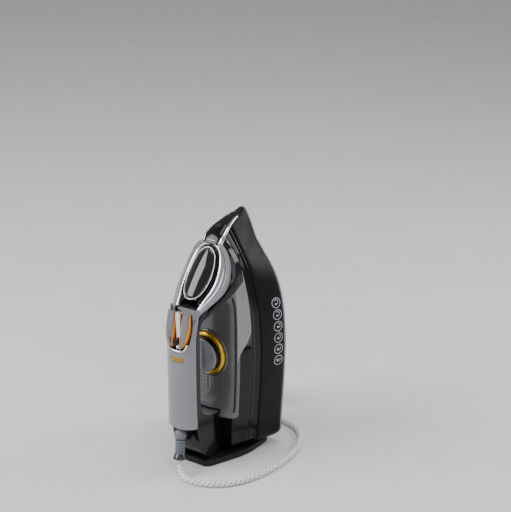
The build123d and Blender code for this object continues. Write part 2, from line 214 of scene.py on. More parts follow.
mats = {
    # blacks: a wet-looking shell, a duller skirt, and a heel and small marks with visible texture
    "glossBlack": mouldedPlastic("moulded gloss black ABS", "#060607", "#0a0a0c", 0.13, 0.03, 2.5, 0.006, 0.0, 0.32),
    "satinBlack": mouldedPlastic("moulded satin black PBT", "#0e0e10", "#131315", 0.4, 0.06, 0.5, 0.012, 0.0, 0.16),
    "heelBlack": mouldedPlastic("textured black PBT", "#101012", "#17171a", 0.5, 0.08, 0.6, 0.05, 0.0, 0.3),
    # greys: soft painted grip, sparkling side panels, glossier bare plastic on the deck and dial
    "handleGrey": metallicPaint("satin grey paint on ABS", "#808186", "#8b8c91", 0.25, 0.36, 0.4),
    "buttonGrey": metallicPaint("satin grey button paint", "#77787d", "#818287", 0.2, 0.4, 0.4),
    "panelSilver": metallicPaint("silver-grey metallic paint", "#77777a", "#a2a2a5", 0.4, 0.36, 0.7),
    "deckGrey": mouldedPlastic("moulded gloss grey ABS", "#505052", "#5b5b5d", 0.2, 0.05, 2.0, 0.006, 0.3),
    "gripGrey": mouldedPlastic("moulded satin grey ABS", "#7e7f83", "#8c8d91", 0.3, 0.05, 1.0, 0.006, 0.2),
    "ballGrey": mouldedPlastic("moulded grey nylon", "#66676d", "#74757b", 0.42, 0.06, 0.6, 0.01),
    # bright trims that mirror the room
    "chrome": platedPlastic("chromed ABS", "#e2e4e8", 0.04),
    "gold": platedPlastic("gold plated trim", "#e0a030", 0.12),
    "dialYellow": metallicPaint("yellow anodised look paint", "#c8950a", "#e8b81c", 0.75, 0.26, 0.5),
    # clear parts: nearly black tank, door that shows a little of what is behind it, glowing lens
    "smokyTank": tintedClear("smoky tank polycarbonate", "#141417", "#1d1d21", 0.12),
    "smokyDoor": tintedClear("smoky door polycarbonate", "#2b211b", "#1a1512", 0.55, 0.05),
    "rimGrey": tintedClear("grey clear dial rim", "#4c4c50", "#5a5a5e", 0.2, 0.08),
    "amber": tintedClear("amber lens polycarbonate", "#a8700c", "#d99a1e", 0.3, 0.1),
    # colour accents and print
    "orange": mouldedPlastic("moulded orange ABS", "#e27a0c", "#f09a1c", 0.25, 0.05, 1.5, 0.005, 0.3),
    "brownField": mouldedPlastic("brown label film", "#5a4030", "#6b4c38", 0.4, 0.05, 1.0, 0.005),
    "print": mouldedPlastic("pale pad print", "#b9bcc2", "#c9ccd1", 0.5, 0.05, 0.5, 0.004),
    "nylon": mouldedPlastic("moulded white nylon", "#c6c5bf", "#d6d5cf", 0.45, 0.05, 0.8, 0.01),
    # cord set: dull rubber with a shinier mouth, white woven sleeve
    "boot": softRubber("moulded blue-grey TPE", "#5b616e", "#6d7482"),
    "bootMouth": mouldedPlastic("gloss dark TPE", "#1f2024", "#2b2c31", 0.24, 0.05, 0.8, 0.008, 0.2),
    "plug": softRubber("moulded black TPE", "#1b1b1e", "#27272b", 0.5),
    "seal": softRubber("red silicone", "#8a3322", "#a04030"),
    "braid": braidedTextile("braided white polyester", "#e2e2e4", "#f0f0f0", "#77777c"),
    # metals: warm bright pins, greyish coated sole, rough casting, plain steel
    "pins": workedMetal("nickel plated brass", "#c9c6bd", "#dedbd2", 0.2),
    "sole": workedMetal("ceramic-coated aluminium", "#7d8187", "#969aa1", 0.36, 0.55, 0.5, 0.006),
    "cast": workedMetal("cast aluminium", "#8f9093", "#a9aaad", 0.55, 1.0, 1.2, 0.06),
    "steel": workedMetal("plated steel", "#9a9a98", "#b7b7b4", 0.3),
}


# mesh helpers
bothSides = ((1, "right"), (-1, "left"))


def makeObject(name, skin, mat, body, replaces=(), slot=None, flat=False, raw=False):
    # One piece from (points, faces); raw points are in the row frame already.
    verts, faces = skin
    mesh = bpy.data.meshes.new(name)
    mesh.from_pydata([v if raw else place(*v) for v in verts], [], faces)
    mesh.validate()
    made = bpy.data.objects.new(name.replace(" ", "_"), mesh)
    bpy.context.collection.objects.link(made)
    for poly in mesh.polygons:
        poly.use_smooth = not flat
    mesh.materials.append(mats[mat])
    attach(made, body)
    if replaces:
        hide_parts(*replaces)
    return made


def weld(made, dist=0.00002):
    # Merges doubled points and turns every face outwards.
    work = bmesh.new()
    work.from_mesh(made.data)
    bmesh.ops.remove_doubles(work, verts=work.verts, dist=dist)
    bmesh.ops.dissolve_degenerate(work, edges=work.edges, dist=dist / 4)
    bmesh.ops.recalc_face_normals(work, faces=work.faces)
    work.to_mesh(made.data)
    work.free()
    return made


def grid(rows, closed=False, capFirst=False, capLast=False):
    # Points and faces of a skin through rows of equally many points.
    wide = len(rows[0])
    verts = [p for row in rows for p in row]
    faces = []
    for r in range(len(rows) - 1):
        for c in range(wide if closed else wide - 1):
            d = (c + 1) % wide
            faces.append((r * wide + c, r * wide + d, (r + 1) * wide + d, (r + 1) * wide + c))
    if capFirst:
        faces.append(tuple(range(wide))[::-1])
    if capLast:
        faces.append(tuple(range((len(rows) - 1) * wide, len(rows) * wide)))
    return verts, faces


def solid(rows):
    return grid(rows, True, True, True)


def gather(skins):
    # One skin from several.
    verts, faces = [], []
    for part, sides in skins:
        faces += [tuple(j + len(verts) for j in f) for f in sides]
        verts += part
    return verts, faces


def modify(made, kind, **settings):
    added = made.modifiers.new(kind.lower(), kind)
    for key, value in settings.items():
        setattr(added, key, value)
    return added


def smoothEdges(made, width, parts=3, angle=32):
    modify(made, "BEVEL", width=width * mm, segments=parts, limit_method="ANGLE", angle_limit=radians(angle),
           harden_normals=False)
    modify(made, "WEIGHTED_NORMAL", keep_sharp=True)


def prism(outline, low, high):
    # Upright solid over an outline of (x, s) points, between two heights.
    return solid([[(x, s, h) for x, s in outline] for h in (low, high)])


def blend(a, b, c, d, t):
    # Point between b and c of a smooth line through a, b, c and d.
    return tuple(0.5 * (2 * q + (r - p) * t + (2 * p - 5 * q + 4 * r - u) * t**2 + (3 * q - p - 3 * r + u) * t**3)
                 for p, q, r, u in zip(a, b, c, d))


def catmull(points, parts):
    # A smooth line through the points, with parts steps in each gap.
    first, last = points[:2], points[-2:]
    whole = [tuple(2 * p - q for p, q in zip(*first))] + list(points) + [tuple(2 * q - p for p, q in zip(*last))]
    line = [blend(*whole[k:k + 4], step / parts) for k in range(len(points) - 1) for step in range(parts)]
    return line + [tuple(points[-1])]


def normals(path):
    # Unit normals of an open path of number pairs, to the right of its run.
    found = []
    for k in range(len(path)):
        (a, b), (c, d) = path[max(k - 1, 0)], path[min(k + 1, len(path) - 1)]
        run = sqrt((c - a)**2 + (d - b)**2)
        found.append(((d - b) / run, (a - c) / run))
    return found


def lerp(a, b, t):
    return tuple(p + (q - p) * t for p, q in zip(a, b))


def smooth(t):
    t = min(max(t, 0), 1)
    return t * t * (3 - 2 * t)


def turned(profile, parts, centre):
    # Points of a turned skin about an upright line, from (radius, height) pairs.
    return [[(centre[0] + r * cos(2 * pi * k / parts), centre[1] + r * sin(2 * pi * k / parts), h)
             for k in range(parts)] for r, h in profile]


# the body's outline at any height
outlines = {
    3: [(0, 307.6), (8.5, 300), (21, 272), (28, 262), (49, 232), (61, 195), (65, 150), (64, 100), (60, 40)],
    20: [(0, 303), (9, 295.5), (23, 270), (28.5, 261), (46, 232), (57, 195), (61, 150), (60, 100), (55, 40)],
    38: [(0, 298), (9, 291.5), (24.5, 268), (29, 260), (41, 235), (51, 195), (55, 150), (54, 100), (50, 40)],
    50: [(0, 294), (9, 288), (24.5, 267), (29, 257), (37, 238), (46, 198), (49.5, 150), (49, 100), (45, 40)],
    72: [(0, 283), (10, 279), (25, 261), (30, 250), (35, 238), (40, 205), (41, 150), (40, 100), (37, 40)],
}
levels = sorted(outlines)
rearCorner = {"heel": 8, "radius": 13}


def halfOutline(h):
    # Half outline, nose first, curving smoothly from level to level.
    k = max(j for j in range(len(levels) - 1) if levels[j] <= max(h, levels[0]))
    t = (h - levels[k]) / (levels[k + 1] - levels[k])
    a, b, c, d = (outlines[levels[min(max(k + j, 0), len(levels) - 1)]] for j in (-1, 0, 1, 2))
    if t > 1 or t < 0:
        return [lerp(p, q, t) for p, q in zip(b, c)]
    return [blend(p, q, r, u, t) for p, q, r, u in zip(a, b, c, d)]


def outline(h, grow=0.0):
    # Whole outline as (x, s) points, from the left rear corner round the nose to the right one.
    half = halfOutline(h)
    line = catmull([(-x, s) for x, s in half[:0:-1]] + half, 7)
    edge, corner = half[-1][0], rearCorner["radius"]
    turn = [(edge - corner - 1 + corner * cos(a), rearCorner["heel"] + corner + corner * sin(a))
            for a in (-pi / 2 * k / 6 for k in range(7))]
    line = [(-x, s) for x, s in turn[::-1]] + line + turn
    if not grow:
        return line
    moved = []
    for k, (x, s) in enumerate(line):
        (xa, sa), (xb, sb) = line[k - 1], line[(k + 1) % len(line)]
        run = sqrt((xb - xa)**2 + (sb - sa)**2)
        moved.append((x - grow * (sb - sa) / run, s + grow * (xb - xa) / run))
    return moved


def ring(h, grow=0.0):
    return [(x, s, h) for x, s in outline(h, grow)]


def flankAt(s, h, grow=0.0):
    # Right-hand flank's (x, s, h) at a distance from the heel and a height.
    line = [p for p in outline(h, grow) if p[0] > 0]
    for (xa, sa), (xb, sb) in zip(line, line[1:]):
        if sb <= s <= sa:
            return (xa + (xb - xa) * (sa - s) / max(sa - sb, 1e-6), s, h)
    return (line[-1][0], s, h)


# sloping front of the handle, crowned across
slope = {"top": (284, 66), "lean": 37.6, "middle": 249, "crown": 44.0}
lean = radians(slope["lean"])


def slopeHeight(x, s):
    drop = slope["crown"] - sqrt(max(slope["crown"]**2 - x * x, 1))
    return slope["top"][1] + (slope["top"][0] - s) * tan(lean) - drop / cos(lean)


def slopePoint(x, y, z=0.0):
    # Point on the crowned slope: x across, y along it towards the nose, z out of it.
    drop = slope["crown"] - sqrt(max(slope["crown"]**2 - x * x, 1))
    tilt = min(x / slope["crown"], 0.95) if x > 0 else max(x / slope["crown"], -0.95)
    base = slope["top"][1] + (slope["top"][0] - slope["middle"]) * tan(lean)
    out = z * sqrt(1 - tilt * tilt) - drop
    return (x + z * tilt, slope["middle"] + y * cos(lean) + out * sin(lean),
            base - y * sin(lean) + out * cos(lean))


# soleplate, skirt and groove; each profile is (height, growth past the outline)
sole = {"profile": [(0.0, -2.2), (0.0, -1.4), (0.5, -0.8), (2.4, -0.6), (3.0, -1.0), (3.0, -2.6), (4.8, -3.4)]}
holes = {"nose": (286, 274, 262), "from": 70, "to": 245, "step": 15, "inset": 20,
         "profile": [(0.1, -0.04), (1.5, -0.05), (2.5, -0.08), (2.7, 0.3)]}
shield = {"profile": [(6, -2.2), (3.3, -2.1), (3.0, -1.3), (3.2, -0.4), (4.2, 0), (8, 0), (14, 0), (20, 0), (26, 0),
                      (31, 0), (35, 0), (36.8, -0.3), (37.7, -1.0), (38.0, -1.9), (37.0, -2.6), (31, -2.2),
                      (20, -2.2), (12, -2.2), (6, -2.2)]}
skirtMarks = {"count": 6, "first": 196.0, "step": 15.2, "height": 13.5, "radius": 6.6, "line": 0.75}
waist = {"profile": [(36.5, -4.5), (37.5, -2.4), (38.6, -1.9), (40.2, -2.2), (42.5, -3.1), (44.5, -3.2),
                     (46.4, -2.4), (47.6, -1.7), (49.0, -1.6), (50.4, -2.0), (50.8, -4.5)]}


def soleplate():
    rows = [ring(h, g) for h, g in sole["profile"]]
    makeObject("sole plate", solid(rows), "sole", "body", ["soleplate"], "sole_coating")


def steamHoles():
    # dark dished discs a hair proud of the coating: painted shade that stands in for the dark inside of each steam
    # hole
    spots = [(0, s) for s in holes["nose"]]
    for s in range(holes["from"], holes["to"], holes["step"]):
        wide = flankAt(s, 3)[0] - holes["inset"]
        spots += [(wide, s), (-wide, s)]
    skin = gather(solid(turned(holes["profile"], 20, spot)) for spot in spots)
    makeObject("steam hole painted shade", skin, "heelBlack", "body")


def skirt():
    skin = grid([ring(h, g) for h, g in shield["profile"]], True)
    weld(makeObject("heat shield skirt", skin, "satinBlack", "body", ["skirt"], "skirt_black"))


def circleMark(s, h, inner, outer, arc=(0, 360), parts=40):
    # Flat ring printed on the skirt's flank, a tenth of a millimetre thick.
    low, high = (radians(a) for a in arc)
    turns = [low + (high - low) * k / parts for k in range(parts + 1)]
    return grid([[flankAt(s + r * sin(a), h + r * cos(a), lift) for a in turns]
                 for r, lift in ((inner, 0.0), (inner, 0.12), (outer, 0.12), (outer, 0.0))])


def skirtPrint():
    # A column of plain round fabric marks on each side: a ring with an arc and a small ring in it.
    h, r = skirtMarks["height"], skirtMarks["radius"]
    shapes = []
    for k in range(skirtMarks["count"]):
        s = skirtMarks["first"] - k * skirtMarks["step"]
        shapes += [circleMark(s, h, r - skirtMarks["line"], r),
                   circleMark(s + 1.0, h, 2.6, 3.3, (30 + 25 * k, 250 + 25 * k), 16),
                   circleMark(s - 1.6 + 0.4 * k, h + 0.8, 0.3, 1.3, (0, 360), 14)]
    verts, faces = gather(shapes)
    for side, word in bothSides:
        skin = ([(side * x, a, b) for x, a, b in verts], faces)
        weld(makeObject("skirt marks " + word, skin, "print", "body"))


def groove():
    rows = [ring(h, g) for h, g in waist["profile"]]
    makeObject("housing groove", solid(rows), "glossBlack", "body", ["body_housing"], "gloss_black")


# tank, rear shell and side panels
def capped(x, s, h, under=5.5):
    # Keeps a point of the flank under the loop.
    return (x, s, min(h, max(slopeHeight(x, s) - under, 40)))


upper = {"heights": [49.5, 52, 56, 60, 64, 68, 70.5, 72, 72.6, 72.9, 73],
         "grow": [-1.6] * 7 + [-2.0, -2.8, -4.2, -10.6], "split": 149, "wall": 1.8}


def upperRows():
    rows = [[capped(x, s, h) for x, s in outline(min(h, 72), g)] for h, g in zip(upper["heights"], upper["grow"])]
    for across, h in ((0.7, 73.2), (0.4, 73.5), (0.02, 73.7)):  # closed over the top, under the deck
        rows.append([capped(x * across, s, h) for x, s in outline(72, -9)])
    return rows


def tankAndRear():
    rows = upperRows()
    wide = len(rows[0])
    front = [k for k, p in enumerate(rows[0]) if p[1] >= upper["split"]]
    after = [(front[-1] + k) % wide for k in range(wide - len(front) + 2)]
    for name, which, mat, replaced, slot in (("water tank shell", front, "smokyTank", "water_tank", "smoky_tank"),
                                             ("rear shell", after, "glossBlack", "rear_body", "gloss_black")):
        made = makeObject(name, grid([[row[k] for k in which] for row in rows]), mat, "body",
                          [replaced], slot)
        modify(made, "SOLIDIFY", thickness=upper["wall"] * mm, offset=1)  # inwards


panel = {"tip": 262.0, "rear": 130.0, "taper": 40.0, "low": 50.6, "high": 70.1}


def panelEdges(s):
    # Lower and upper edge heights of a side panel at a distance from the heel.
    rise = smooth((panel["tip"] - s) / 34)
    fall = smooth((s - panel["rear"]) / panel["taper"])
    wide = panel["high"] - panel["low"]
    low = panel["low"] + (wide - 0.6) * (1 - fall)  # the rear end tapers up to the deck
    return low, max(low + 0.3, panel["low"] + 0.3 + (wide - 0.3) * rise**0.8)


def sidePanels():
    steps = 56
    for side, word in bothSides:
        rows = []
        for k in range(steps + 1):
            s = panel["rear"] + (panel["tip"] - panel["rear"]) * k / steps
            low, high = panelEdges(s)
            row = []
            for t, lift in ((0, -1.6), (0, 0.15), (0.03, 0.45), (0.12, 0.5), (0.3, 0.5), (0.5, 0.5), (0.7, 0.5),
                            (0.88, 0.5), (0.97, 0.45), (1, 0.15), (1, -1.6)):
                x, a, b = flankAt(s, low + (high - low) * t, lift - 1.0)
                row.append((side * x, a, min(b, slopeHeight(x, a) - 4)))
            rows.append(row)
        weld(makeObject("side panel " + word, grid(rows), "panelSilver", "body", ["side_panel_" + word],
                        "panel_silver"))


# deck in the handle opening
deck = {"low": 65.5, "crown": 77.0, "back": 55.0, "front": 222.0}


def deckHeight(x, s):
    rise = 7.5 * smooth((s - 196) / 26) + 5 * smooth((74 - s) / 18)
    wide = deckWidth(s)
    return deck["crown"] - 4.2 * (abs(x) / wide)**2.4 + rise * (1 - 0.6 * abs(x) / wide)


def deckWidth(s):
    return flankAt(min(max(s, 20), 240), 70)[0] - 1.4


def deckPanel():
    across = [-1, -0.97, -0.9, -0.78, -0.62, -0.45, -0.25, 0, 0.25, 0.45, 0.62, 0.78, 0.9, 0.97, 1]
    rows = []
    for k in range(61):
        s = deck["back"] + (deck["front"] - deck["back"]) * k / 60
        wide = deckWidth(s)
        row = [(t * wide, s, deckHeight(t * wide, s)) for t in across]
        edge = deckHeight(wide, s)
        for h, out in ((edge - 1.2, 0.55), (edge - 3, 0.75), (deck["low"], 0.6), (deck["low"] - 0.3, -1)):
            x = flankAt(s, min(h, 72), out - 1.4)[0]
            row = [(-x, s, h)] + row + [(x, s, h)]
        rows.append([(x, a, min(h, max(slopeHeight(x, a) - 6, 50))) for x, a, h in row])
    made = makeObject("deck panel", grid(rows), "deckGrey", "body", ["deck_panel"], "deck_grey")
    modify(made, "SOLIDIFY", thickness=1.2 * mm, offset=-1)
    modify(made, "SUBSURF", levels=1, render_levels=1)


deckDots = {"step": 5.2, "rows": 5, "columns": 7, "from": 103.0,
            "profile": [(0.25, 0.03), (0.55, 0.06), (0.85, 0.0)]}


def deckDetails():
    # Dimples behind the dial, its pointer line, and the black seam along the deck.
    dots = []
    for r in range(deckDots["rows"]):
        for c in range(deckDots["columns"]):
            x = (c - (deckDots["columns"] - 1) / 2) * deckDots["step"]
            s = deckDots["from"] - r * deckDots["step"]
            if abs(x) < 2 and r < 3:
                continue  # the pointer line is here
            lift = deckHeight(x, s) + 0.02
            rows = [[(a, b, h + lift) for a, b, h in row] for row in turned(deckDots["profile"], 12, (x, s))]
            dots.append(grid(rows, True, True))
    weld(makeObject("deck dimples", gather(dots), "heelBlack", "body"))
    for side, word in bothSides:
        rows = []
        for k in range(41):
            s = 64 + 154 * k / 40
            x = deckWidth(s) + 0.1
            h = min(deckHeight(x, s), slopeHeight(x, s) - 6)
            rows.append([(side * (x + a), s, h + b) for a, b in
                         ((-1.5, -0.8), (-1.3, 0.5), (-0.6, 0.9), (0.2, 0.7), (0.7, -0.1), (0.7, -1.6))])
        weld(makeObject("deck seam " + word, solid(rows), "glossBlack", "body"))
    line, top = [(-0.5, 90), (0.5, 90), (0.5, 104), (-0.5, 104)], deckHeight(0, 97)
    smoothEdges(makeObject("dial pointer line", prism(line, top - 0.4, top + 0.25), "heelBlack", "body"), 0.15, 2)


# nose: raised black spine with the spray nozzle, and the bright bevel on each side of it
nose = {"ridge": [(303.2, 17), (300.5, 27), (297.6, 38), (294.2, 48), (289.6, 56.5), (284.0, 63.0), (277, 68)],
        "section": [(-1, -6), (-1, 0.2), (-0.93, 1.3), (-0.75, 1.9), (-0.35, 2.2), (0, 2.3), (0.35, 2.2), (0.75, 1.9),
                    (0.93, 1.3), (1, 0.2), (1, -6)]}
jet = {"at": (294.5, 51.5), "tilt": 72, "parts": 28,
       "profile": [(0, -3), (3.9, -3), (4.0, 2.2), (3.6, 2.9), (3.0, 3.0), (2.7, 1.6), (1.9, 1.5), (1.5, 3.4),
                   (0.6, 3.6), (0.5, 2.4), (0, 2.4)]}


def noseSpine():
    path = catmull(nose["ridge"], 6)
    rows = []
    for k, ((s, h), (outS, outH)) in enumerate(zip(path, normals(path))):
        t = k / (len(path) - 1)
        wide = 5.4 + 5.6 * smooth(t * 1.25)
        row = []
        for across, lift in nose["section"]:
            up = lift * (0.35 + 0.65 * smooth(t * 4)) if lift > 0 else lift
            row.append((across * wide, s + outS * up, h + outH * up))
        rows.append(row)
    made = weld(makeObject("nozzle housing spine", solid(rows), "glossBlack", "body", ["nozzle_housing"],
                           "gloss_black"))
    smoothEdges(made, 0.5, 2, 50)
    for side, word in bothSides:
        rows = []
        for k, (s, h) in enumerate(path[3:]):
            t = k / (len(path) - 4)
            wide = 5.9 + 5.4 * smooth((t + 0.1) * 1.15)
            strip = 1.4 + 2.3 * smooth(t * 1.3)
            rows.append([(side * (wide + across), s - 0.2 * across + lift * 0.78, h + lift * 0.6 - 0.25 * across)
                         for across, lift in ((0.0, -1.5), (0.15, 0.7), (0.35, 0.95), (strip - 0.3, 0.1),
                                              (strip, -0.5), (strip, -2.5))])
        weld(makeObject("nose bevel " + word, solid(rows), "chrome", "body"))


def sprayNozzle():
    # small turned jet in a black cup, pointing ahead and up; the steel jet is drawn in the same textured black as its
    # cup
    tilt, (s, h) = radians(jet["tilt"]), jet["at"]
    turns = [2 * pi * k / jet["parts"] for k in range(jet["parts"])]
    rows = [[(r * cos(a), s + r * sin(a) * cos(tilt) + out * sin(tilt) * 0.9,
              h - r * sin(a) * sin(tilt) + out * cos(tilt)) for a in turns] for r, out in jet["profile"]]
    weld(makeObject("spray jet", grid(rows, True), "heelBlack", "body", ["spray_nozzle"], "nozzle_steel"))


# handle front: black flank and underside between deck and loop
frontRows = [(70, 37.6, 282, 221), (78, 35.8, 272, 217.5), (90, 33, 258, 212), (104, 27.5, 240, 204),
             (112, 24, 230, 198), (118, 20.5, 222, 192)]  # (height, half width, front, back)


def frontSection(h):
    h = max(h, frontRows[0][0])
    for low, high in zip(frontRows, frontRows[1:]):
        if low[0] <= h <= high[0]:
            return lerp(low[1:], high[1:], (h - low[0]) / (high[0] - low[0]))
    return frontRows[-1][1:]


def frontPoint(t, h):
    # t runs from 0 at the left rear edge round the front to 1 at the right rear edge
    wide, front, back = frontSection(h)
    deep = front - back
    half = [(wide - 3.5, back), (wide - 0.6, back + 1.2), (wide, back + 5), (wide * 0.98, back + deep * 0.33),
            (wide * 0.86, back + deep * 0.6), (wide * 0.6, back + deep * 0.83), (wide * 0.3, back + deep * 0.96),
            (0, front)]
    line = catmull([(-x, s) for x, s in half] + half[-2::-1], 5)
    spot = t * (len(line) - 1)
    k = min(int(spot), len(line) - 2)
    return lerp(line[k], line[k + 1], spot - k)


def handleFront():
    columns, steps, foot = 71, 12, 54.0
    tops = []
    for c in range(columns):
        h = foot
        while h < 118 and h < slopeHeight(*frontPoint(c / (columns - 1), h)) - 5:
            h += 0.4
        tops.append(h)
    rows = []
    for r in range(steps + 1):
        heights = [foot + (top - foot) * r / steps for top in tops]
        rows.append([(*frontPoint(c / (columns - 1), h), h) for c, h in enumerate(heights)])
    verts, faces = grid(rows, True, True)
    top = steps * columns
    for c in range(columns // 2):  # the top is closed from side to side, so it follows the slope
        faces.append((top + c, top + c + 1, top + columns - 2 - c, top + columns - 1 - c))
    weld(makeObject("handle front shell", (verts, faces), "glossBlack", "body", ["handle_front"], "gloss_black"))
    makeUnderArch()


def makeUnderArch():
    # rounded throat where the front of the finger opening turns up into the grip
    rows = []
    for k in range(15):
        a = pi / 2 * k / 14
        s, h = 181 + 24 * sin(a) ** 0.9, 118.4 - 22 * (1 - cos(a)) ** 1.1
        wide = 19.6 + 5.6 * sin(a)
        rows.append([(x * wide, s + 1.2 * (abs(x) > 0.9), h) for x in (-1, -0.93, -0.6, -0.2, 0.2, 0.6, 0.93, 1)]
                    + [(x * wide, s + 9, h + 4) for x in (1, -1)])
    smoothEdges(weld(makeObject("finger throat", solid(rows), "glossBlack", "body")), 1.2, 3, 45)


# grip core: black underside and rear column, (s, h) round its side
core = {"half": 19.6, "foot": (8.2, 74), "edge": 5.5,
        "top": [(202, 122), (202, 127.6), (150, 127.8), (100, 127.8), (61, 127.6), (57.5, 126), (46, 123.5),
                (34, 121.5), (21, 116), (11, 107), (8.4, 96), (8.2, 74)],
        "inner": [(70, 73.5), (66.5, 76), (64.5, 81), (64, 88), (65.5, 98), (69, 107), (75, 113.6), (84, 117.2),
                  (96, 118.2), (120, 118.4), (150, 118.2), (180, 118.2), (195, 119.5)]}


def handleCore():
    side = [core["foot"]] + catmull(core["inner"], 4) + core["top"][:1] + catmull(core["top"][1:], 3)[:-1]
    rows = [[(x, s, h) for s, h in side] for x in (-core["half"], core["half"])]
    made = weld(makeObject("handle core", solid(rows), "glossBlack", "body", ["handle_core"], "gloss_black"))
    smoothEdges(made, core["edge"], 5, 50)


# grey cover with the loop round the filler
lens = {"at": 151, "long": 9.8, "wide": 3.3}
cover = {"half": 21.0, "rear": 59.5, "front": 213.0, "thick": 2.4}


def crownHeight(s):
    return 140.0 - 1.6 * smooth((100 - s) / 60) - 6.5 * smooth((s - 168) / 50)


def edgeHeight(s):
    return 130.6 - 0.8 * smooth((100 - s) / 50) - 8.4 * smooth((s - 172) / 48)


def coverSection(s, inset):
    half, high, low = cover["half"] - inset, crownHeight(s) - inset, edgeHeight(s)
    half -= 0.7 * sin(pi * (s - 60) / 150)
    base = low - 3.0 + (0 if inset else -0.4)
    right = [(half, base), (half, low - 0.6), (half - 0.5, low + 1.0), (half - 1.8, low + 2.2)]
    for t in (0.78, 0.6, 0.4, 0.2):
        right.append(((half - 1.8) * t, low + 2.2 + (high - low - 2.2) * (1 - t**2.2)))
    return [(-x, h) for x, h in right] + [(0, high)] + right[::-1]


def carve(made, skin):
    # Cuts one piece with a closed skin, and keeps only the result.
    mesh = bpy.data.meshes.new("cutter")
    mesh.from_pydata([place(*v) for v in skin[0]], [], skin[1])
    cutter = bpy.data.objects.new("cutter", mesh)
    bpy.context.collection.objects.link(cutter)
    weld(cutter)
    tool = modify(made, "BOOLEAN", object=cutter, operation="DIFFERENCE", solver="EXACT")
    bpy.context.view_layer.update()
    graph = bpy.context.evaluated_depsgraph_get()
    result = bpy.data.meshes.new_from_object(made.evaluated_get(graph))
    made.modifiers.remove(tool)
    made.data = result
    bpy.data.objects.remove(cutter)
    bpy.data.meshes.remove(mesh)


def windowOutline(spread=0.0):
    # shield-shaped window for the button group, (x, s), counter-clockwise
    right = catmull([(0, 160.5 - spread), (6, 161.3 - spread), (11.5, 165.0 - spread * 0.7), (15.2 + spread, 172.5),
                     (17.0 + spread, 183), (17.2 + spread, 195), (16.0 + spread, 205), (14.6 + spread, 216)], 4)
    return right + [(-x, s) for x, s in right[:0:-1]]


def handleCover():
    rows = []
    for k in range(41):
        s = cover["rear"] + (cover["front"] - cover["rear"]) * k / 40
        outer = [(x, s - 1.6 * (1 - (x / 21)**2) * (s < 61), h) for x, h in coverSection(s, 0)]
        rows.append(outer + [(x, s, h) for x, h in coverSection(s, cover["thick"])][::-1])
    made = weld(makeObject("handle cover", solid(rows), "handleGrey", "body", ["handle_cover"], "handle_grey"))
    carve(made, prism(windowOutline(0.8), 110, 150))
    carve(made, prism(stadium(0, lens["at"], lens["long"] + 0.3, lens["wide"] + 0.3), 125, 150))
    smoothEdges(made, 0.5, 2, 40)


def stadium(x, s, halfLong, halfWide, parts=9):
    right = [(x + halfLong - halfWide + halfWide * cos(a), s + halfWide * sin(a)) for a in
             (-pi / 2 + pi * k / parts for k in range(parts + 1))]
    return right + [(2 * x - a, 2 * s - b) for a, b in right]


loopOuter = [(0, 44.2), (12, 42.2), (22.5, 35.5), (31, 22), (35.2, 6), (35.6, -10), (32.4, -24), (27.2, -37),
             (22.2, -49), (18.6, -60)]  # (across, along the slope)
loopInner = [(0, 40.2), (10, 38.6), (18.7, 32.2), (26.4, 19.6), (30.3, 5), (30.7, -9.5), (27.6, -23.2), (22.6, -36),
             (18.2, -48.5), (15.6, -60)]


def openOval(points):
    # From the right arm's end round the nose end to the left arm's end.
    return catmull([(-x, y) for x, y in points[:0:-1]] + points, 6)[::-1]


def between(outer, inner, section):
    # Rows of a band on the slope: each section point is (share of the way inwards, height out of the slope).
    return [[slopePoint(xo + (xi - xo) * t, yo + (yi - yo) * t, z) for t, z in section]
            for (xo, yo), (xi, yi) in zip(outer, inner)]


def fillerLoop():
    rows = between(openOval(loopOuter), openOval(loopInner), (
        (0.0, -8.5), (0.0, -2.4), (0.03, -1.2), (0.12, -0.35), (0.3, -0.02), (0.5, 0.1), (0.72, -0.05), (0.9, -0.5),
        (1.0, -1.5), (1.0, -6.5)))
    weld(makeObject("filler loop", solid(rows), "handleGrey", "body"))
    rows = []
    for k in range(13):  # thin gold edge that shows on the left of the loop's front
        x, y = -18 - 9 * k / 12, 38.6 - 11.6 * (k / 12)**1.2
        rows.append([slopePoint(x, y, z) for z in (-0.3, 0.45, 0.2)] + [slopePoint(x - 1.0, y + 0.9, -0.9)])
    weld(makeObject("loop gold edge", solid(rows), "gold", "body"))


# chromed bezel, black floor with ribs, smoky door with its chrome rim
doorOutline = [(0, 32.5), (6.5, 30.2), (12, 23.5), (15.6, 11), (16.6, -3), (15.2, -16), (11.5, -27), (6, -32.6),
               (0, -34.2)]
bandOutline = [(0, 37.0), (8.6, 35.2), (15.4, 28.2), (20.4, 15.5), (22.6, 2), (22.6, -10), (20.6, -22), (17.2, -33),
               (14.5, -44)]


def closedOval(points):
    parts = 6
    half = catmull([(-points[1][0], points[1][1])] + points + [(-points[-2][0], points[-2][1])], parts)[parts:-parts]
    return half[:-1] + [(-x, y) for x, y in half[:0:-1]]


